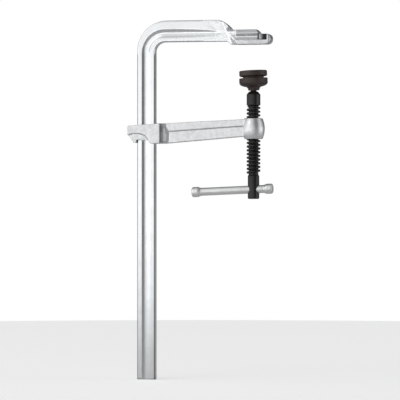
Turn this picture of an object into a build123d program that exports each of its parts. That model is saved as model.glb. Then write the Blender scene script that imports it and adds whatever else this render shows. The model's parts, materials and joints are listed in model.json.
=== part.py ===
from build123d import *

import os
from math import cos, radians, sin, sqrt

# All-steel F clamp, in millimetres.
# Origin: where the screw's axis meets the fixed jaw's pressure face.
# +Z runs along the rail towards the fixed jaw, +X from the rail towards the screw, Y is the thickness.

# Driving dimensions
throat_depth = 120.0  # rail to screw axis
capacity_length = 402.0  # rail below the fixed jaw's pressure face
rail_width = 22.0
rail_thickness = 10.5
rail_corner = 0.9
groove_radius = 7.5  # section of the rolled groove on both sides
groove_depth = 1.9

fixed_arm_top = 29.6
fixed_arm_underside = 3.8
bend_outer_radius = 36.6
bend_inner_radius = 12.0
arm_groove_height = 14.0
groove_bend_radius = 23.0

jaw_half_width = 10.0
jaw_tip = 22.4
jaw_rib_height = 17.4
jaw_nose_height = 12.5

sleeve_half_width = 11.5
sleeve_clearance = 0.3
arm_half_width = 8.0
web_half_width = 3.2
arm_recess = 2.2

boss_middle = -100.8
boss_height = 24.8
boss_radius = 13.5
boss_end_radius = 10.8

thread_radius = 8.25
thread_clearance = 0.1
plain_end_radius = 6.9
bar_height = -173.4
bar_radius = 4.8
bar_clearance = 0.4
rest_tilt = 2.5  # degrees, of the pad on its ball and of the tommy bar in its loose hole

ball_height = -44.5
ball_radius = 6.5
ball_clearance = 0.1
ring_thickness = 1.6
neck_radius = 3.6

rail_face = -throat_depth  # the rail's narrow face on the throat side
rail_back = rail_face - rail_width
rail_middle = rail_face - rail_width / 2
rail_end = -capacity_length

os.makedirs("parts", exist_ok=True)


# ---- Rail and fixed jaw: one forged bar ----
# The bar: straight rail, bend and fixed arm, cut off inside the jaw.
bar_stop = -46.0
with BuildPart() as rail_and_fixed_jaw:
    with BuildSketch(Plane.XZ):
        with BuildLine():
            l1 = Line((rail_back, rail_end), (rail_back, fixed_arm_top - bend_outer_radius))
            a1 = TangentArc(l1 @ 1, (rail_back + bend_outer_radius, fixed_arm_top), tangent=l1 % 1)
            l2 = Line(a1 @ 1, (bar_stop - 6, fixed_arm_top))
            l3 = Line(l2 @ 1, (bar_stop, fixed_arm_underside))
            l4 = Line(l3 @ 1, (rail_face + bend_inner_radius, fixed_arm_underside))
            a2 = TangentArc(
                l4 @ 1, (rail_face, fixed_arm_underside - bend_inner_radius), tangent=l4 % 1
            )
            l5 = Line(a2 @ 1, (rail_face, rail_end))
            Line(l5 @ 1, l1 @ 0)
        make_face()
    extrude(amount=rail_thickness / 2, both=True)
    chamfer(rail_and_fixed_jaw.faces().filter_by(Axis.Y).edges(), rail_corner)

# The jaw: a side profile, a flare that leans with the ramp, and a rounded nose in plan.
jaw_root = -60.0
flare_start = -38.5  # at the fixed arm's top
flare_length = 6.5
flare_lean = (0.41, 0, -0.912)
nose_corner = 3.0
root_half_width = rail_thickness / 2
with BuildPart() as jaw:
    with BuildSketch(Plane.XZ):
        with BuildLine():
            top = Polyline(
                (jaw_root, fixed_arm_underside), (jaw_root, fixed_arm_top), (-44.0, fixed_arm_top)
            )
            Spline(
                top @ 1,
                (-36.5, 27.3),
                (-29.5, 22.0),
                (-20.5, jaw_rib_height),
                tangents=((1, 0), (1, 0)),
            )
            rib = Polyline(
                (-20.5, jaw_rib_height),
                (5.0, jaw_rib_height),
                (9.0, jaw_nose_height),
                (jaw_tip - 5.5, jaw_nose_height),
            )
            nose = ThreePointArc(rib @ 1, (jaw_tip, jaw_nose_height / 2), (jaw_tip - 5.5, 0))
            under = Polyline(nose @ 1, (-26.5, 0), (-31.0, fixed_arm_underside), top @ 0)
        make_face()
    extrude(amount=jaw_half_width, both=True)
    with BuildSketch(Plane.XY.offset(fixed_arm_top + 1)):
        with BuildLine():
            Polyline(
                (jaw_root - 20, 0),
                (jaw_root - 20, root_half_width),
                (flare_start, root_half_width),
                (flare_start + flare_length, jaw_half_width),
                (jaw_tip + 5, jaw_half_width),
                (jaw_tip + 5, 0),
                close=True,
            )
        make_face()
        mirror(about=Plane.XZ)
    extrude(amount=fixed_arm_top + 10, dir=flare_lean, mode=Mode.INTERSECT)
    with BuildSketch(Plane.XY.offset(-5)):
        with BuildLine():
            n1 = Polyline(
                (jaw_root - 1, 0),
                (jaw_root - 1, jaw_half_width),
                (jaw_tip - nose_corner, jaw_half_width),
            )
            n2 = TangentArc(n1 @ 1, (jaw_tip, jaw_half_width - nose_corner), tangent=(1, 0))
            Polyline(n2 @ 1, (jaw_tip, 0), n1 @ 0)
        make_face()
        mirror(about=Plane.XZ)
    extrude(amount=fixed_arm_top + 10, mode=Mode.INTERSECT)

    # Slanted shoulders on the top rib, hollow channels under it, and deep pockets behind the nose.
    channel_low, channel_high = 5.2, 12.2
    channel_radius = 4.2
    channel_depth = 2.0
    channel_axis_offset = jaw_half_width - channel_depth + channel_radius
    shoulder_start, shoulder_length = -21.0, 30.5
    pocket_floor = 2.5
    for side in (-1, 1):
        with BuildSketch(Plane.YZ.offset(shoulder_start)):
            with BuildLine():
                Polyline(
                    (side * (jaw_half_width + 1), channel_high + 0.2),
                    (side * (jaw_half_width + 1), jaw_rib_height + 1),
                    (side * 6.0, jaw_rib_height + 1),
                    close=True,
                )
            make_face()
        extrude(amount=shoulder_length, mode=Mode.SUBTRACT)
        with BuildSketch(Plane.YZ.offset(flare_start)):
            with Locations((side * channel_axis_offset, (channel_low + channel_high) / 2)):
                Circle(channel_radius)
        extrude(amount=9.0 - flare_start, mode=Mode.SUBTRACT)
        with BuildSketch(Plane.XZ.offset(-side * (jaw_half_width + 1))):
            with BuildLine():
                FilletPolyline(
                    (6.5, channel_low),
                    (18.0, channel_low),
                    (18.0, jaw_nose_height + 2),
                    (9.5, jaw_nose_height + 2),
                    (6.5, channel_high),
                    radius=0.8,
                    close=True,
                )
            make_face()
        extrude(amount=side * (jaw_half_width + 1 - pocket_floor), mode=Mode.SUBTRACT)

# The groove follows the rail round the bend and fades out towards the jaw.
groove_exit = -20.0
groove_exit_rise = 2.9
groove_axis_offset = rail_thickness / 2 - groove_depth + groove_radius
bend_corner = groove_bend_radius * (1 - cos(radians(45)))
with rail_and_fixed_jaw:
    add(jaw.part)
    for side in (-1, 1):
        y_axis = side * groove_axis_offset
        with BuildLine() as groove_path:
            g1 = Line(
                (rail_middle, y_axis, rail_end - 5),
                (rail_middle, y_axis, arm_groove_height - groove_bend_radius),
            )
            g2 = ThreePointArc(
                g1 @ 1,
                (rail_middle + bend_corner, y_axis, arm_groove_height - bend_corner),
                (rail_middle + groove_bend_radius, y_axis, arm_groove_height),
            )
            TangentArc(
                g2 @ 1,
                (groove_exit, y_axis + side * groove_exit_rise, arm_groove_height),
                tangent=g2 % 1,
            )
        with BuildSketch(Plane((rail_middle, y_axis, rail_end - 5))):
            Circle(groove_radius)
        sweep(path=groove_path.wires()[0], mode=Mode.SUBTRACT)


# ---- Sliding arm: sleeve, arm and boss in one forging ----
sleeve_left = -153.0
sleeve_right = -112.8
corner_recess = 1.6
pocket_right = -102.5
pocket_bottom = -116.9
boss_low, boss_high = boss_middle - boss_height / 2, boss_middle + boss_height / 2
with BuildPart() as sliding_arm:
    # The arm, deepest at the sleeve.
    with BuildSketch(Plane.XZ):
        with BuildLine():
            Polyline(
                (sleeve_right - 4, -93.9),
                (-105.6, -93.9),
                (0, -89.1),
                (0, -109.3),
                (-100.7, -117.6),
                (-108, -118.2),
                (sleeve_right - 4, -118.2),
                close=True,
            )
        make_face()
    extrude(amount=arm_half_width, both=True)
    # The face below the top flange is set back.
    for side in (-1, 1):
        with BuildSketch(Plane.XZ.offset(-side * (arm_half_width - arm_recess))):
            with BuildLine():
                Polyline(
                    (-118, -104.7), (0, -97.0), (0, -120), (-118, -125), close=True
                )
            make_face()
        extrude(amount=-side * (arm_recess + 1), mode=Mode.SUBTRACT)
    # The sleeve.
    with BuildSketch(Plane.XZ):
        with BuildLine():
            Polyline(
                (-152.3, -96.6),
                (sleeve_right, -94.1),
                (sleeve_right, -118.2),
                (-124.0, -118.2),
                (-128.5, -114.0),
                (-141.5, -113.8),
                (-142.6, -117.0),
                (-145.6, -117.0),
                (-149.2, -111.6),
                (sleeve_left, -106.8),
                (sleeve_left, -100.0),
                close=True,
            )
        make_face()
    extrude(amount=sleeve_half_width, both=True)
    # The sleeve's lower outer corner is set back under a curved edge.
    for side in (-1, 1):
        with BuildSketch(Plane.XZ.offset(-side * (sleeve_half_width - corner_recess))):
            with BuildLine():
                e1 = Line((-156, -108.4), (-150.5, -107.4))
                e2 = ThreePointArc(e1 @ 1, (-138.5, -106.0), (-130.5, -109.2))
                e3 = Line(e2 @ 1, (-127.0, -113.0))
                e4 = Line(e3 @ 1, (-127.0, -130))
                e5 = Line(e4 @ 1, (-156, -130))
                Line(e5 @ 1, e1 @ 0)
            make_face()
        extrude(amount=-side * (corner_recess + 1), mode=Mode.SUBTRACT)
    # The pocket between sleeve and arm leaves a thin web in the middle.
    for side in (-1, 1):
        with BuildSketch(Plane.XZ.offset(-side * web_half_width)):
            with BuildLine():
                FilletPolyline(
                    (sleeve_right, pocket_bottom),
                    (pocket_right - 1.2, pocket_bottom),
                    (pocket_right, -103.5),
                    (pocket_right - 3.2, -98.5),
                    (pocket_right - 3.2, -85),
                    (sleeve_right, -85),
                    radius=1.0,
                    close=True,
                )
            make_face()
        extrude(amount=-side * 12, mode=Mode.SUBTRACT)
    # The boss, a barrel round the screw.
    with BuildSketch(Plane.XZ):
        with BuildLine():
            b1 = Line((0, boss_low), (boss_end_radius, boss_low))
            b2 = ThreePointArc(b1 @ 1, (boss_radius, boss_middle), (boss_end_radius, boss_high))
            b3 = Line(b2 @ 1, (0, boss_high))
            Line(b3 @ 1, b1 @ 0)
        make_face()
    revolve(axis=Axis.Z)
    # The rail's passage and the screw's bore.
    with BuildSketch(Plane.XY.offset(-130)):
        with Locations((rail_middle, 0)):
            Rectangle(rail_width + 2 * sleeve_clearance, rail_thickness + 2 * sleeve_clearance)
    extrude(amount=50, mode=Mode.SUBTRACT)
    with Locations((0, 0, boss_middle)):
        Hole(radius=thread_radius + thread_clearance, depth=boss_height)


# ---- Lock insert: serrated block that bears on the rail ----
insert_half_width = 3.0
nose_half_width = 2.4
tooth_pitch = 2.0
tooth_count = 5
insert_clearance = 0.05
nose_low, nose_high = -114.6, -104.6
insert_face = rail_face + 0.25


def insert_outline(grow):
    """Bottle shape of the insert in the pocket's web, enlarged by grow for its window."""
    with BuildSketch(Plane.XZ) as outline:
        with BuildLine():
            FilletPolyline(
                (-111.3 - grow, -98.6 + grow),
                (-108.2 + grow, -98.6 + grow),
                (-107.6 + grow, -104.4),
                (-105.7 + grow, -107.2),
                (-106.5 + grow, -115.6 - grow),
                (-111.3 - grow, -115.6 - grow),
                radius=0.8,
                close=True,
            )
        make_face()
    return outline.sketch


with BuildPart() as lock_insert:
    extrude(insert_outline(0), amount=insert_half_width, both=True)
    with BuildSketch(Plane.XZ):
        with BuildLine():
            teeth = [(-111, nose_high), (insert_face + 1.0, nose_high)]
            for i in range(tooth_count):
                z_tooth = nose_high - i * tooth_pitch
                teeth.append((insert_face, z_tooth - tooth_pitch / 2))
                teeth.append((insert_face + 1.0, z_tooth - tooth_pitch))
            Polyline(*teeth, (-111, nose_low), close=True)
        make_face()
    extrude(amount=nose_half_width, both=True)

with sliding_arm:
    extrude(
        insert_outline(insert_clearance), amount=web_half_width + 1, both=True, mode=Mode.SUBTRACT
    )
    with BuildSketch(Plane.XZ):
        with Locations(((-111 + rail_face) / 2, (nose_low + nose_high) / 2)):
            Rectangle(11, nose_high - nose_low + 2 * insert_clearance)
    extrude(amount=nose_half_width + insert_clearance, both=True, mode=Mode.SUBTRACT)


# ---- Spindle: ball, neck, collar, thread and plain end ----
collar_top = -60.0
shoulder_top = -56.4
spindle_end = -184.8
thread_low, thread_high = -157.2, -72.6
ball_neck_drop = sqrt(ball_radius**2 - neck_radius**2)
with BuildPart() as spindle:
    with BuildSketch(Plane.XZ):
        with BuildLine():
            p1 = Polyline(
                (0, spindle_end),
                (plain_end_radius - 1.0, spindle_end),
                (plain_end_radius, spindle_end + 1.0),
                (plain_end_radius, thread_low),
                (thread_radius, thread_low + 1.3),
                (thread_radius, collar_top),
                (5.3, shoulder_top),
                (neck_radius, shoulder_top),
                (neck_radius, ball_height - ball_neck_drop),
            )
            p2 = ThreePointArc(
                p1 @ 1, (ball_radius, ball_height), (0, ball_height + ball_radius)
            )
            Line(p2 @ 1, p1 @ 0)
        make_face()
    revolve(axis=Axis.Z)
    with BuildSketch(Plane.YZ):
        with Locations((0, bar_height)):
            Circle(bar_radius + bar_clearance)
    extrude(amount=plain_end_radius + 1, both=True, mode=Mode.SUBTRACT)


# ---- Swivel pad: socket, disc and the split ring that keeps the ball in ----
pad_top = -31.4
disc_low = -38.4
groove_low = -40.4
disc_radius = 16.65
socket_radius = 17.0
pad_neck_radius = 12.5
spigot_radius = 10.0
spigot_low = -42.0
mouth_low = -55.0
mouth_radius = 5.3
cup_radius = ball_radius + ball_clearance + ring_thickness + ball_clearance
mouth_seat_drop = sqrt(cup_radius**2 - mouth_radius**2)
seat_angle = radians(25)

with BuildPart() as pad_socket:
    with BuildSketch(Plane.XZ):
        with BuildLine():
            m1 = Polyline(
                (spigot_radius, spigot_low),
                (spigot_radius, groove_low),
                (socket_radius - 0.4, groove_low),
                (socket_radius, groove_low - 0.4),
                (socket_radius, -46.6),
                (15.6, -48.6),
            )
            m2 = ThreePointArc(m1 @ 1, (12.2, -50.1), (8.6, -50.9))
            m3 = ThreePointArc(m2 @ 1, (7.4, -52.4), (6.7, mouth_low))
            m4 = Polyline(
                m3 @ 1, (mouth_radius, mouth_low), (mouth_radius, ball_height - mouth_seat_drop)
            )
            m5 = ThreePointArc(
                m4 @ 1,
                (cup_radius * cos(seat_angle), ball_height - cup_radius * sin(seat_angle)),
                (cup_radius, ball_height),
            )
            Polyline(m5 @ 1, (cup_radius, spigot_low), m1 @ 0)
        make_face()
    revolve(axis=Axis.Z)

with BuildPart() as pad_disc:
    with BuildSketch(Plane.XZ):
        with BuildLine():
            Polyline(
                (0, spigot_low),
                (spigot_radius, spigot_low),
                (spigot_radius, groove_low),
                (pad_neck_radius, groove_low),
                (pad_neck_radius, disc_low),
                (disc_radius - 1.2, disc_low),
                (disc_radius, disc_low + 1.2),
                (disc_radius, pad_top - 0.8),
                (disc_radius - 0.8, pad_top),
                (0, pad_top),
                close=True,
            )
        make_face()
    revolve(axis=Axis.Z)
    with Locations((0, 0, ball_height)):
        Sphere(ball_radius + ball_clearance, mode=Mode.SUBTRACT)

ring_inner = ball_radius + ball_clearance
ring_outer = ring_inner + ring_thickness
ring_high = ball_height - 1.2
ring_low = ball_height - 4.5
ring_gap = 0.9
ring_halves = {}
for half_name, side in (("ball_ring_front", -1), ("ball_ring_back", 1)):
    with BuildPart() as ring_half:
        with Locations((0, 0, ball_height)):
            Sphere(ring_outer)
            Sphere(ring_inner, mode=Mode.SUBTRACT)
        with BuildSketch(Plane.XY.offset(ring_low)):
            with Locations((0, side * (ring_outer + ring_gap) / 2)):
                Rectangle(2 * ring_outer, ring_outer)
        extrude(amount=ring_high - ring_low, mode=Mode.INTERSECT)
    ring_halves[half_name] = ring_half.part


# ---- Tommy bar with pressed-on ends ----
bar_left, bar_right = -63.2, 11.6
spigot_length = 8.5
bar_spigot_radius = 3.4
end_length = 12.0
end_radius = 6.1

with BuildPart() as tommy_bar:
    with BuildSketch(Plane.YZ.offset(bar_left)):
        with Locations((0, bar_height)):
            Circle(bar_radius)
    extrude(amount=bar_right - bar_left)
    with BuildSketch(Plane.YZ.offset(bar_left - spigot_length)):
        with Locations((0, bar_height)):
            Circle(bar_spigot_radius)
    extrude(amount=bar_right - bar_left + 2 * spigot_length)

bar_ends = {}
for end_name, start, way in (
    ("tommy_bar_left_end", bar_left, -1),
    ("tommy_bar_right_end", bar_right, 1),
):
    with BuildPart() as bar_end:
        with BuildSketch(Plane((start, 0, bar_height), x_dir=(way, 0, 0), z_dir=(0, -1, 0))):
            with BuildLine():
                c1 = Polyline(
                    (spigot_length, 0),
                    (spigot_length, bar_spigot_radius),
                    (0, bar_spigot_radius),
                    (0, bar_radius),
                    (0.9, bar_radius),
                )
                c2 = Spline(c1 @ 1, (5.2, end_radius), tangents=((1, 0.1), (1, 0)))
                c3 = Line(c2 @ 1, (end_length - 2.0, end_radius))
                c4 = ThreePointArc(
                    c3 @ 1, (end_length - 0.6, end_radius - 0.6), (end_length, end_radius - 2.0)
                )
                Polyline(c4 @ 1, (end_length, 0), c1 @ 0)
            make_face()
        revolve(axis=Axis((start, 0, bar_height), (1, 0, 0)))
    bar_ends[end_name] = bar_end.part


# ---- Write one file per piece ----
# The pad and the tommy bar both rest a little higher on the +X side.
pad_turn = Axis((0, 0, ball_height), (0, -1, 0))
bar_turn = Axis((0, 0, bar_height), (0, -1, 0))
pieces = {
    "rail_and_fixed_jaw": rail_and_fixed_jaw.part,
    "sliding_arm": sliding_arm.part,
    "lock_insert": lock_insert.part,
    "spindle": spindle.part,
    "pad_socket": pad_socket.part.rotate(pad_turn, rest_tilt),
    "pad_disc": pad_disc.part.rotate(pad_turn, rest_tilt),
    "tommy_bar": tommy_bar.part.rotate(bar_turn, rest_tilt),
    **ring_halves,
}
for end_name, bar_end_part in bar_ends.items():
    pieces[end_name] = bar_end_part.rotate(bar_turn, rest_tilt)
for node_name, piece in pieces.items():
    piece.label = node_name
    export_step(piece, f"parts/{node_name}.step")
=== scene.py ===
import json
import math

import bmesh
import bpy
import numpy as np
from mathutils import Matrix, Vector, noise


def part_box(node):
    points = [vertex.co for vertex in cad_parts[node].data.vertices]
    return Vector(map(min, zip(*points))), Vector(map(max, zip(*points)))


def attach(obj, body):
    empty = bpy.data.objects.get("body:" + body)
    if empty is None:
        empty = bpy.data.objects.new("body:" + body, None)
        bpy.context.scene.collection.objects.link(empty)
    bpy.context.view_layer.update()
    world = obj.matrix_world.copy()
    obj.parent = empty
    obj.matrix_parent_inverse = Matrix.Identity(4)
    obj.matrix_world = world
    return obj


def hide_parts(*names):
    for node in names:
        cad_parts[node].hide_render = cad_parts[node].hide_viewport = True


# All-steel F clamp. Metres, in the CAD model's frame: +Z along the rail, +X from rail to screw.
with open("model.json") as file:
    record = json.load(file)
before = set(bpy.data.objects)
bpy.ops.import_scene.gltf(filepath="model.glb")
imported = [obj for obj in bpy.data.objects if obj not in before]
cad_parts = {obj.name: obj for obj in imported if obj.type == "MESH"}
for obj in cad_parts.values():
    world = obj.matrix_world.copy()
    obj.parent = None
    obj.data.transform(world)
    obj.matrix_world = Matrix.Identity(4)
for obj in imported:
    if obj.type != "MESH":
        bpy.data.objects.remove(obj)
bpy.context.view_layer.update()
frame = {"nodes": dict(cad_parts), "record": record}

MM = 0.001
TAU = 2 * math.pi
rail_low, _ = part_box("rail_and_fixed_jaw")
spindle_low, spindle_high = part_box("spindle")
feed_per_radian = frame["record"]["behaviour"]["couplings"][0]["ratio"]
thread_pitch = feed_per_radian * TAU


# ---- Camera: long lens, a little to the screw's side, level with the middle of the rail ----
VIEW_WIDTH = 0.480
CAMERA_DISTANCE = 3.2
CAMERA_AZIMUTH = math.radians(12.5)
SENSOR_MM = 36.0
FAR_CLIP = 50
AIM = Vector((-0.0655, 0, -0.186))


def make_camera():
    data = bpy.data.cameras.new("camera")
    data.sensor_width = SENSOR_MM
    data.lens = SENSOR_MM * CAMERA_DISTANCE / VIEW_WIDTH
    data.clip_end = FAR_CLIP
    camera = bpy.data.objects.new("camera", data)
    back = Vector((math.sin(CAMERA_AZIMUTH), -math.cos(CAMERA_AZIMUTH), 0))
    camera.location = AIM + back * CAMERA_DISTANCE
    camera.rotation_euler = (math.radians(90), 0, CAMERA_AZIMUTH)
    bpy.context.scene.collection.objects.link(camera)
    bpy.context.scene.camera = camera


# ---- Node helpers ----
class Nodes:
    """A small writer for a node tree: add nodes, link sockets, chain maths."""

    def __init__(self, tree):
        self.tree = tree
        tree.nodes.clear()

    def add(self, kind, values=None, **settings):
        node = self.tree.nodes.new(kind)
        for key, value in settings.items():
            setattr(node, key, value)
        for key, value in (values or {}).items():
            self.put(node.inputs[key], value)
        return node

    def put(self, socket, value):
        if isinstance(value, bpy.types.NodeSocket):
            self.tree.links.new(value, socket)
        else:
            socket.default_value = value

    def maths(self, operation, a, b=0.0, c=0.0, clamp=False):
        node = self.add("ShaderNodeMath", {0: a, 1: b, 2: c}, operation=operation, use_clamp=clamp)
        return node.outputs[0]

    def fade(self, value, low, high, start=0.0, end=1.0):
        """Smooth step of value from low to high, mapped to start..end."""
        node = self.add(
            "ShaderNodeMapRange",
            {"Value": value, "From Min": low, "From Max": high, "To Min": start, "To Max": end},
            interpolation_type="SMOOTHSTEP",
        )
        return node.outputs["Result"]

    def noise(self, vector, scale, detail, roughness):
        node = self.add(
            "ShaderNodeTexNoise",
            {"Vector": vector, "Scale": scale, "Detail": detail, "Roughness": roughness},
        )
        return node.outputs["Fac"]

    def stretched(self, vector, scale):
        return self.add("ShaderNodeMapping", {"Vector": vector, "Scale": scale}).outputs["Vector"]

    def bump(self, height, strength, depth, normal=None):
        values = {"Height": height, "Strength": strength, "Distance": depth}
        if normal is not None:
            values["Normal"] = normal
        return self.add("ShaderNodeBump", values).outputs["Normal"]

    def mix(self, factor, a, b):
        """Mixes two colours. A Mix node's colour sockets are its inputs 6 and 7 and its output 2."""
        node = self.add("ShaderNodeMix", data_type="RGBA")
        self.put(node.inputs["Factor"], factor)
        self.put(node.inputs[6], a)
        self.put(node.inputs[7], b)
        return node.outputs[2]


# ---- Materials ----
# Geometry's Pointiness is 0.5 on a flat face, more on an edge and less in a crease.
EDGE_BEND = (0.52, 0.62)
CREASE_BEND = (0.42, 0.485)
WORN_SHARE = 0.6
CLOUD_RANGE, FINE_CLOUD_RANGE = (0.35, 0.68), (0.4, 0.7)
CLOUD_SHARE, FINE_CLOUD_SHARE = 0.7, 0.3
FINE_CLOUD_RATIO = 9
GRAIN_ROUGHNESS_SHARE = 0.6
EDGE_POLISH = 0.25
GRAIN_DEPTH, PIT_DEPTH = 0.05 * MM, 0.3 * MM
# Near-black colour for painted shade in creases and pockets, also used for the darker tone of the jaw
# tongue.
PAINTED_SHADE_AND_TONE_DARK = (0.030, 0.029, 0.028, 1.0)


def grey(value):
    return (value, value, value, 1.0)


def metal(
    name,
    *,
    light,
    dark,
    worn,
    roughness,
    roughness_spread,
    grain_stretch,
    grain_bump,
    pit_scale,
    pit_bump,
    metallic=1.0,
    mottle_scale=55.0,
    painted_crease_shade=0.6,
):
    """Plated or blackened steel: mottled colour, directional grain, pits, painted shade in creases and in
    marked places, and worn edges.
    """
    material = bpy.data.materials.new(name)
    material.use_nodes = True
    n = Nodes(material.node_tree)
    place = n.add("ShaderNodeTexCoord").outputs["Object"]
    mottle = n.noise(place, mottle_scale, detail=6.0, roughness=0.6)
    fine = n.noise(place, mottle_scale * FINE_CLOUD_RATIO, detail=5.0, roughness=0.6)
    grain = n.noise(n.stretched(place, grain_stretch), 1.0, detail=3.0, roughness=0.5)
    pits = n.noise(place, pit_scale, detail=3.0, roughness=0.6)
    bend = n.add("ShaderNodeNewGeometry").outputs["Pointiness"]
    edge = n.fade(bend, *EDGE_BEND)

    cloud = n.maths(
        "ADD",
        n.fade(mottle, *CLOUD_RANGE, end=CLOUD_SHARE),
        n.fade(fine, *FINE_CLOUD_RANGE, end=FINE_CLOUD_SHARE),
    )
    base = n.mix(cloud, light, dark)
    base = n.mix(n.maths("MULTIPLY", edge, WORN_SHARE), base, worn)
    # Painted shade: creases, and the places that the vertex attribute marks, are darkened towards near
    # black.
    crease = n.fade(bend, *CREASE_BEND, start=1.0, end=0.0)
    shade_and_tone = n.add("ShaderNodeAttribute", attribute_name="painted_shade_and_tone").outputs["Fac"]
    shade_and_tone = n.maths("MAXIMUM", n.maths("MULTIPLY", crease, painted_crease_shade), shade_and_tone)
    base = n.mix(shade_and_tone, base, PAINTED_SHADE_AND_TONE_DARK)

    rough = n.maths("MULTIPLY_ADD", mottle, roughness_spread, roughness - roughness_spread / 2)
    rough = n.maths("MULTIPLY_ADD", grain, roughness_spread * GRAIN_ROUGHNESS_SHARE, rough)
    rough = n.maths("MULTIPLY_ADD", edge, -roughness * EDGE_POLISH, rough, clamp=True)

    normal = n.bump(grain, grain_bump, GRAIN_DEPTH)
    normal = n.bump(pits, pit_bump, PIT_DEPTH, normal)
    shader = n.add(
        "ShaderNodeBsdfPrincipled",
        {"Base Color": base, "Metallic": metallic, "Roughness": rough, "Normal": normal},
    )
    out = n.add("ShaderNodeOutputMaterial")
    n.put(out.inputs["Surface"], shader.outputs[0])
    return material


def make_materials():
    return {
        "rail": metal(
            "drawn_zinc",
            light=(0.86, 0.88, 0.885, 1),
            dark=(0.81, 0.83, 0.835, 1),
            worn=(0.64, 0.65, 0.66, 1),
            roughness=0.22,
            roughness_spread=0.08,
            grain_stretch=(2600, 2600, 18),
            grain_bump=0.35,
            pit_scale=700,
            pit_bump=0.05,
            painted_crease_shade=0.25,
        ),
        "forging": metal(
            "forged_zinc",
            light=(0.87, 0.885, 0.89, 1),
            dark=(0.74, 0.76, 0.765, 1),
            worn=(0.42, 0.43, 0.44, 1),
            roughness=0.34,
            roughness_spread=0.16,
            grain_stretch=(500, 500, 500),
            grain_bump=0.12,
            pit_scale=620,
            pit_bump=0.45,
            mottle_scale=240.0,
        ),
        "spindle": metal(
            "black_oxide_screw",
            light=(0.028, 0.026, 0.025, 1),
            dark=(0.012, 0.011, 0.011, 1),
            worn=grey(0.07),
            roughness=0.24,
            roughness_spread=0.12,
            grain_stretch=(200, 200, 3200),
            grain_bump=0.5,
            pit_scale=900,
            pit_bump=0.15,
            metallic=0.35,
            painted_crease_shade=0.0,
        ),
        "pad": metal(
            "black_oxide_pad",
            light=(0.072, 0.055, 0.049, 1),
            dark=(0.038, 0.029, 0.026, 1),
            worn=(0.07, 0.06, 0.055, 1),
            roughness=0.42,
            roughness_spread=0.18,
            grain_stretch=(260, 260, 2400),
            grain_bump=0.3,
            pit_scale=520,
            pit_bump=0.35,
            metallic=0.35,
            painted_crease_shade=0.0,
        ),
        "bar": metal(
            "bar_zinc",
            light=(0.97, 0.975, 0.97, 1),
            dark=(0.88, 0.885, 0.88, 1),
            worn=(0.93, 0.94, 0.94, 1),
            roughness=0.42,
            roughness_spread=0.14,
            grain_stretch=(30, 2400, 2400),
            grain_bump=0.5,
            pit_scale=500,
            pit_bump=0.18,
        ),
        "hard": metal(
            "hardened_steel",
            light=grey(0.42),
            dark=grey(0.28),
            worn=grey(0.62),
            roughness=0.40,
            roughness_spread=0.16,
            grain_stretch=(900, 900, 60),
            grain_bump=0.4,
            pit_scale=700,
            pit_bump=0.25,
        ),
    }


# ---- Mesh helpers ----
def new_object(name, mesh):
    piece = bpy.data.objects.new(name, mesh)
    bpy.context.scene.collection.objects.link(piece)
    return piece


def bake_modifiers(piece):
    graph = bpy.context.evaluated_depsgraph_get()
    mesh = bpy.data.meshes.new_from_object(piece.evaluated_get(graph), depsgraph=graph)
    old = piece.data
    piece.modifiers.clear()
    piece.data = mesh
    bpy.data.meshes.remove(old)


def welded_copy(node, name):
    """A copy of a CAD node's mesh with its split vertices joined."""
    mesh = frame["nodes"][node].data.copy()
    mesh.materials.clear()
    made = bmesh.new()
    made.from_mesh(mesh)
    bmesh.ops.remove_doubles(made, verts=made.verts, dist=0.001 * MM)
    made.to_mesh(mesh)
    made.free()
    if "custom_normal" in mesh.attributes:
        mesh.attributes.remove(mesh.attributes["custom_normal"])
    return new_object(name, mesh)


def soften(piece, voxel, rounds):
    """Turns a sharp-edged solid into an even fine mesh with rounded edges."""
    remesh = piece.modifiers.new("even", "REMESH")
    remesh.mode = "VOXEL"
    remesh.voxel_size = voxel
    remesh.use_smooth_shade = True
    smooth = piece.modifiers.new("round", "SMOOTH")
    smooth.factor = 0.5
    smooth.iterations = rounds
    bake_modifiers(piece)


def vertex_places(mesh):
    places = np.empty(len(mesh.vertices) * 3, np.float32)
    mesh.vertices.foreach_get("co", places)
    return places.reshape(-1, 3)


def roughen(piece, amount):
    """Moves each vertex along its normal by amount(place), in metres."""
    mesh = piece.data
    places = vertex_places(mesh)
    normals = np.empty(len(mesh.vertices) * 3, np.float32)
    mesh.vertex_normals.foreach_get("vector", normals)
    shifts = np.array([amount(Vector(place)) for place in places.tolist()], np.float32)
    places += normals.reshape(-1, 3) * shifts[:, None]
    mesh.vertices.foreach_set("co", places.reshape(-1))
    mesh.update()


def paint_shade_and_tone(piece, amount):
    """Stores how dark each vertex is painted, for painted shade and a darker tone: amount(x, y, z) from
    arrays of places in millimetres.
    """
    mesh = piece.data
    x, y, z = vertex_places(mesh).T / MM
    painted_shade_and_tone = mesh.attributes.new("painted_shade_and_tone", "FLOAT", "POINT")
    painted_shade_and_tone.data.foreach_set("value", amount(x, y, z).astype(np.float32))


def waves(place, *layers):
    """Sum of layers of smooth noise at a place. A layer is (waves per metre, height)."""
    return sum(noise.noise(place * density) * height for density, height in layers)


def step(value, low, high):
    """Smooth step of one number from low to high."""
    t = min(1.0, max(0.0, (value - low) / (high - low)))
    return t * t * (3 - 2 * t)


def rise(values, low, high):
    """Smooth step of an array of values from low to high."""
    t = np.clip((values - low) / (high - low), 0, 1)
    return t * t * (3 - 2 * t)


def band(values, start, end):
    """1 inside a band of an array of values and 0 outside it. Start and end are pairs to fade over."""
    return rise(values, *start) * (1 - rise(values, *end))


def smooth_shade(piece):
    for polygon in piece.data.polygons:
        polygon.use_smooth = True


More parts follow.
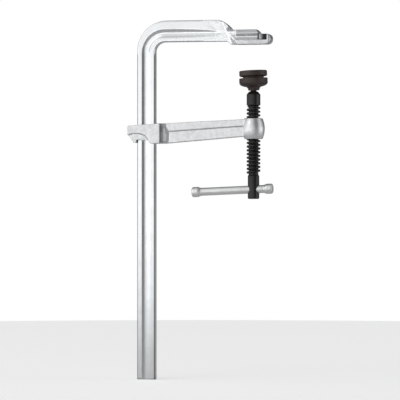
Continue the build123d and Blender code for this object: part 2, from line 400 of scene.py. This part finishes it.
def lathe(profile, segments):
    """Closed bmesh of a profile [(radius, z), ...], from axis to axis, turned about the Z axis."""
    made = bmesh.new()
    directions = [
        (math.cos(TAU * i / segments), math.sin(TAU * i / segments)) for i in range(segments)
    ]
    rings = []
    for radius, height in profile:
        if radius == 0:
            rings.append([made.verts.new((0, 0, height))])
        else:
            rings.append([made.verts.new((radius * c, radius * s, height)) for c, s in directions])
    for low, high in zip(rings, rings[1:]):
        for i in range(segments):
            j = (i + 1) % segments
            corners = [low[i % len(low)], low[j % len(low)], high[j % len(high)], high[i % len(high)]]
            made.faces.new(list(dict.fromkeys(corners)))
    return made


# ---- Pieces ----
def finish_piece(piece, node, body, material):
    piece.data.materials.clear()
    piece.data.materials.append(material)
    smooth_shade(piece)
    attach(piece, body)
    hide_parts(node)


RAIL_WAVES = (140, 0.10 * MM), (420, 0.04 * MM)
FORGED_START, FORGED_FULL = -60 * MM, -48 * MM
RAIL_HALF_WIDTH_MM = 11.0
# Where shade is painted on the rail, in the pocket behind the nose and along the corners, and where the
# jaw tongue is darker, in millimetres: each pair of numbers is a fade's start and end.
NOSE_POCKET_X = (4.0, 13.0), (17.7, 18.3)
NOSE_POCKET_Z = (5.0, 5.6), (12.3, 12.8)
NOSE_POCKET_SIDE = (8.8, 9.6)
DARKER_JAW_X, DARKER_JAW_Z = (-26, -16), (5, 12)
CORNER_SIDE, CORNER_EDGE = (4.0, 4.6), (9.6, 10.3)
STRAIGHT_RAIL_TOP = (-14, -7)
JAW_DARKENING, JAW_DARKENING_LOSS, CORNER_PAINTED_SHADE = 0.26, 0.10, 0.85


def make_rail(material):
    piece = welded_copy("rail_and_fixed_jaw", "rail_and_jaw_forged")
    soften(piece, voxel=0.5 * MM, rounds=3)

    def forging(place):
        return waves(place, *RAIL_WAVES) * step(place.x, FORGED_START, FORGED_FULL)

    roughen(piece, forging)
    rail_middle = rail_low.x / MM + RAIL_HALF_WIDTH_MM

    def dark_places(x, y, z):
        """Painted shade in the pocket behind the nose and along the corners of the straight rail, and a
        jaw tongue darker towards its bottom.
        """
        # Painted shade in the pocket behind the nose.
        pocket = band(x, *NOSE_POCKET_X) * band(z, *NOSE_POCKET_Z)
        pocket *= 1 - rise(abs(y), *NOSE_POCKET_SIDE)
        # The jaw tongue is darker, more so towards its bottom.
        jaw = rise(x, *DARKER_JAW_X) * (JAW_DARKENING - JAW_DARKENING_LOSS * rise(z, *DARKER_JAW_Z))
        # Painted shade: a dark line along the corners of the straight rail.
        corner = rise(abs(y), *CORNER_SIDE) * rise(abs(x - rail_middle), *CORNER_EDGE)
        corner *= 1 - rise(z, *STRAIGHT_RAIL_TOP)
        return np.maximum(np.maximum(pocket, jaw), CORNER_PAINTED_SHADE * corner)

    paint_shade_and_tone(piece, dark_places)
    finish_piece(piece, "rail_and_fixed_jaw", "frame", material)


ARM_WAVES = (160, 0.16 * MM), (520, 0.09 * MM)
BOSS_START, BOSS_FULL = -21 * MM, -15 * MM
BOSS_SMOOTHNESS = 0.85
# Where shade is painted in the pocket of the lock insert, in millimetres, as on the rail.
INSERT_POCKET_X = (-112.6, -111.8), (-103.4, -102.2)
INSERT_POCKET_SIDE = (5.6, 7.6)
INSERT_POCKET_Z = (-117.4, -116.6)
INSERT_POCKET_PAINTED_SHADE = 0.55


def make_arm(material):
    piece = welded_copy("sliding_arm", "sliding_arm_forged")
    soften(piece, voxel=0.45 * MM, rounds=4)

    def forging(place):
        machined = step(place.x, BOSS_START, BOSS_FULL)
        return waves(place, *ARM_WAVES) * (1 - BOSS_SMOOTHNESS * machined)

    roughen(piece, forging)

    def insert_pocket(x, y, z):
        # Painted shade in the pocket round the lock insert.
        pocket = band(x, *INSERT_POCKET_X) * (1 - rise(abs(y), *INSERT_POCKET_SIDE))
        return INSERT_POCKET_PAINTED_SHADE * pocket * rise(z, *INSERT_POCKET_Z)

    paint_shade_and_tone(piece, insert_pocket)
    finish_piece(piece, "sliding_arm", "arm", material)


THREAD_RADIUS = (spindle_high.x - spindle_low.x) / 2
THREAD_ROOT = 5.85 * MM
THREAD_LOW, THREAD_HIGH = -157.2 * MM, -72.6 * MM
LOW_FLANK, HIGH_FLANK = 1.2 * MM, 1.4 * MM
THREAD_HALF_FOOT, THREAD_HALF_CREST = 0.40 * thread_pitch, 0.23 * thread_pitch
THREAD_BURIED = 1.0 * MM
THREAD_STEPS_PER_TURN = 72
THREAD_START_TURNS, THREAD_STOP_TURNS = 0.4, 0.1
RUN_OUT_TURNS = 0.35
RUN_OUT_LEAST = 0.15
PLAIN_RADIUS = 6.9 * MM
END_CHAMFER = 1.0 * MM
COLLAR_TOP, SHOULDER_TOP = -60.0 * MM, -56.4 * MM
SHOULDER_RADIUS = 5.3 * MM
NECK_RADIUS = 3.6 * MM
BALL_RADIUS = 6.5 * MM
BALL_HEIGHT = spindle_high.z - BALL_RADIUS
BALL_STEPS = 12
HOLE_HEIGHT, HOLE_RADIUS = -173.4 * MM, 5.2 * MM
DRILL_LENGTH = 30 * MM


def add_thread(made, low, high):
    """A closed trapezoidal ridge wound round the Z axis, right-handed, that fades out at both ends."""
    turns = (high - low) / thread_pitch
    count = int(turns * THREAD_STEPS_PER_TURN)
    buried = THREAD_ROOT - THREAD_BURIED
    rings = []
    for i in range(count + 1):
        angle = TAU * i / THREAD_STEPS_PER_TURN
        middle = low + thread_pitch * i / THREAD_STEPS_PER_TURN
        turns_to_end = min(i, count - i) / THREAD_STEPS_PER_TURN
        height = RUN_OUT_LEAST + (1 - RUN_OUT_LEAST) * step(turns_to_end, 0.0, RUN_OUT_TURNS)
        top = buried + (THREAD_RADIUS - buried) * height
        section = (
            (buried, -THREAD_HALF_FOOT),
            (top, -THREAD_HALF_CREST),
            (top, THREAD_HALF_CREST),
            (buried, THREAD_HALF_FOOT),
        )
        c, s = math.cos(angle), math.sin(angle)
        rings.append([made.verts.new((radius * c, radius * s, middle + dz)) for radius, dz in section])
    for a, b in zip(rings, rings[1:]):
        for k in range(len(a)):
            m = (k + 1) % len(a)
            made.faces.new([a[k], b[k], b[m], a[m]])
    made.faces.new(rings[0])
    made.faces.new(rings[-1][::-1])


def drill_cross_hole(piece):
    """Cuts the hole that the tommy bar slides in."""
    mesh = bpy.data.meshes.new("drill")
    made = bmesh.new()
    bmesh.ops.create_cone(
        made,
        cap_ends=True,
        segments=64,
        radius1=HOLE_RADIUS,
        radius2=HOLE_RADIUS,
        depth=DRILL_LENGTH,
        matrix=Matrix.Translation((0, 0, HOLE_HEIGHT)) @ Matrix.Rotation(math.pi / 2, 4, "Y"),
    )
    made.to_mesh(mesh)
    made.free()
    drill = new_object("drill", mesh)
    cut = piece.modifiers.new("cross_hole", "BOOLEAN")
    cut.object = drill
    cut.operation = "DIFFERENCE"
    cut.solver = "EXACT"
    bake_modifiers(piece)
    bpy.data.objects.remove(drill)


def spindle_profile():
    """Plain end, thread root, collar, neck and ball, from the bottom up."""
    profile = [
        (0, spindle_low.z),
        (PLAIN_RADIUS - END_CHAMFER, spindle_low.z),
        (PLAIN_RADIUS, spindle_low.z + END_CHAMFER),
        (PLAIN_RADIUS, THREAD_LOW),
        (THREAD_ROOT, THREAD_LOW + LOW_FLANK),
        (THREAD_ROOT, THREAD_HIGH - HIGH_FLANK),
        (THREAD_RADIUS, THREAD_HIGH),
        (THREAD_RADIUS, COLLAR_TOP),
        (SHOULDER_RADIUS, SHOULDER_TOP),
        (NECK_RADIUS, SHOULDER_TOP),
    ]
    start = -math.acos(NECK_RADIUS / BALL_RADIUS)
    for i in range(BALL_STEPS):
        angle = start + (math.pi / 2 - start) * i / BALL_STEPS
        profile.append((BALL_RADIUS * math.cos(angle), BALL_HEIGHT + BALL_RADIUS * math.sin(angle)))
    profile.append((0, spindle_high.z))
    return profile


def make_spindle(material):
    made = lathe(spindle_profile(), segments=96)
    bmesh.ops.recalc_face_normals(made, faces=made.faces)
    mesh = bpy.data.meshes.new("screw")
    made.to_mesh(mesh)
    made.free()
    piece = new_object("screw_threaded", mesh)
    drill_cross_hole(piece)
    made = bmesh.new()
    made.from_mesh(piece.data)
    thread_start = THREAD_LOW + THREAD_START_TURNS * thread_pitch
    add_thread(made, thread_start, THREAD_HIGH - THREAD_STOP_TURNS * thread_pitch)
    bmesh.ops.recalc_face_normals(made, faces=made.faces)
    made.to_mesh(piece.data)
    made.free()
    soften(piece, voxel=0.3 * MM, rounds=2)
    finish_piece(piece, "spindle", "screw", material)


def make_pad(material):
    for node, name in (("pad_socket", "pad_socket_forged"), ("pad_disc", "pad_disc_forged")):
        piece = welded_copy(node, name)
        soften(piece, voxel=0.3 * MM, rounds=4)
        roughen(piece, lambda place: waves(place, (190, 0.10 * MM)))
        finish_piece(piece, node, "pad", material)


def make_bar(material):
    for node, name in (
        ("tommy_bar", "bar_drawn"),
        ("tommy_bar_left_end", "bar_left_end_upset"),
        ("tommy_bar_right_end", "bar_right_end_upset"),
    ):
        piece = welded_copy(node, name)
        soften(piece, voxel=0.25 * MM, rounds=3)
        roughen(piece, lambda place: waves(place, (210, 0.05 * MM)))
        finish_piece(piece, node, "handle", material)


def make_hidden(material):
    """The pieces inside the arm and the pad keep their CAD meshes."""
    for node in ("lock_insert", "ball_ring_front", "ball_ring_back"):
        piece = frame["nodes"][node]
        piece.data.materials.clear()
        piece.data.materials.append(material)


# ---- Floor and light ----
FLOOR_RADIUS = 1.6
FLOOR_GAP = 0.2 * MM
FLOOR_REFLECTED, FLOOR_SEEN = grey(0.85), grey(0.9)
FLOOR_GLOW = 0.48
KEY_PLACE = Vector((-1.2, -1.4, 0.8))
KEY_SIZE = 1.0
KEY_POWER = 3
# Brightness of the studio by compass angle, in degrees from the front (-Y) towards the screw's side (+X).
STUDIO = (
    (-180, 0.19),
    (-150, 0.15),
    (-112, 0.22),
    (-85, 0.92),
    (-50, 1.00),
    (-14, 0.87),
    (0, 0.75),
    (14, 0.50),
    (28, 0.24),
    (40, 0.07),
    (58, 0.07),
    (66, 0.60),
    (78, 1.00),
    (104, 1.00),
    (124, 0.15),
    (166, 0.17),
    (180, 0.19),
)
STUDIO_GAIN = 1.70
TOP_GAIN, BOTTOM_GAIN = 0.85, 0.85
ABOVE_LEVEL_GAIN = 0.46
BLUE_GAIN = 1.015
# Heights, as the sine of the angle above level, over which those gains fade in or out.
TOP_FADE, BOTTOM_FADE, LEVEL_FADE = (0.6, 0.97), (-0.75, -0.2), (0.02, 0.09)


def make_floor():
    """A pale floor that glows a little where the camera sees it, but not in the clamp's reflections."""
    mesh = bpy.data.meshes.new("floor")
    made = bmesh.new()
    bmesh.ops.create_circle(made, cap_ends=True, segments=96, radius=FLOOR_RADIUS)
    made.to_mesh(mesh)
    made.free()
    floor = new_object("floor", mesh)
    floor.location = (AIM.x, 0, rail_low.z - FLOOR_GAP)
    material = bpy.data.materials.new("floor_pale")
    material.use_nodes = True
    n = Nodes(material.node_tree)
    seen = n.add("ShaderNodeLightPath").outputs["Is Camera Ray"]
    shader = n.add(
        "ShaderNodeBsdfPrincipled",
        {
            "Base Color": n.mix(seen, FLOOR_REFLECTED, FLOOR_SEEN),
            "Roughness": 0.8,
            "Emission Color": grey(1.0),
            "Emission Strength": n.maths("MULTIPLY", seen, FLOOR_GLOW),
        },
    )
    out = n.add("ShaderNodeOutputMaterial")
    n.put(out.inputs["Surface"], shader.outputs[0])
    floor.data.materials.append(material)


def make_key_light():
    data = bpy.data.lights.new("key", "AREA")
    data.size = KEY_SIZE
    data.energy = KEY_POWER
    light = bpy.data.objects.new("key", data)
    light.location = KEY_PLACE
    light.rotation_euler = (AIM - KEY_PLACE).to_track_quat("-Z", "Y").to_euler()
    bpy.context.scene.collection.objects.link(light)


def make_world():
    """A studio that the camera sees as white. The clamp reflects its dark gap at the right and its
    grey back and upper part."""
    world = bpy.data.worlds.new("studio")
    bpy.context.scene.world = world
    world.use_nodes = True
    n = Nodes(world.node_tree)
    way = n.add("ShaderNodeTexCoord").outputs["Generated"]
    x, y, z = n.add("ShaderNodeSeparateXYZ", {0: way}).outputs
    compass = n.maths("ARCTAN2", x, n.maths("MULTIPLY", y, -1.0))
    ramp = n.add("ShaderNodeValToRGB", {"Fac": n.maths("MULTIPLY_ADD", compass, 1 / TAU, 0.5)})
    stops = ramp.color_ramp.elements
    for angle, _ in STUDIO[1:-1]:
        stops.new(angle / 360 + 0.5)
    for stop, (angle, brightness) in zip(stops, STUDIO):
        stop.position = angle / 360 + 0.5
        stop.color = grey(brightness)
    level = n.add("ShaderNodeSeparateColor", {0: ramp.outputs["Color"]}).outputs[0]
    level = n.maths("MULTIPLY", level, n.fade(z, *TOP_FADE, 1.0, TOP_GAIN))
    level = n.maths("MULTIPLY", level, n.fade(z, *BOTTOM_FADE, BOTTOM_GAIN, 1.0))
    above_level = n.fade(z, *LEVEL_FADE, STUDIO_GAIN, ABOVE_LEVEL_GAIN * STUDIO_GAIN)
    level = n.maths("MULTIPLY", level, above_level)
    blue = n.maths("MULTIPLY", level, BLUE_GAIN)
    studio = n.add("ShaderNodeCombineColor", {0: level, 1: level, 2: blue})
    seen = n.add("ShaderNodeLightPath").outputs["Is Camera Ray"]
    shade = n.mix(seen, studio.outputs[0], grey(1.0))
    background = n.add("ShaderNodeBackground", {"Color": shade, "Strength": 1.0})
    out = n.add("ShaderNodeOutputWorld")
    n.put(out.inputs["Surface"], background.outputs[0])


make_camera()
make_world()
make_key_light()
make_floor()
materials = make_materials()
make_rail(materials["rail"])
make_arm(materials["forging"])
make_spindle(materials["spindle"])
make_pad(materials["pad"])
make_bar(materials["bar"])
make_hidden(materials["hard"])
bpy.context.scene.view_settings.view_transform = "Standard"
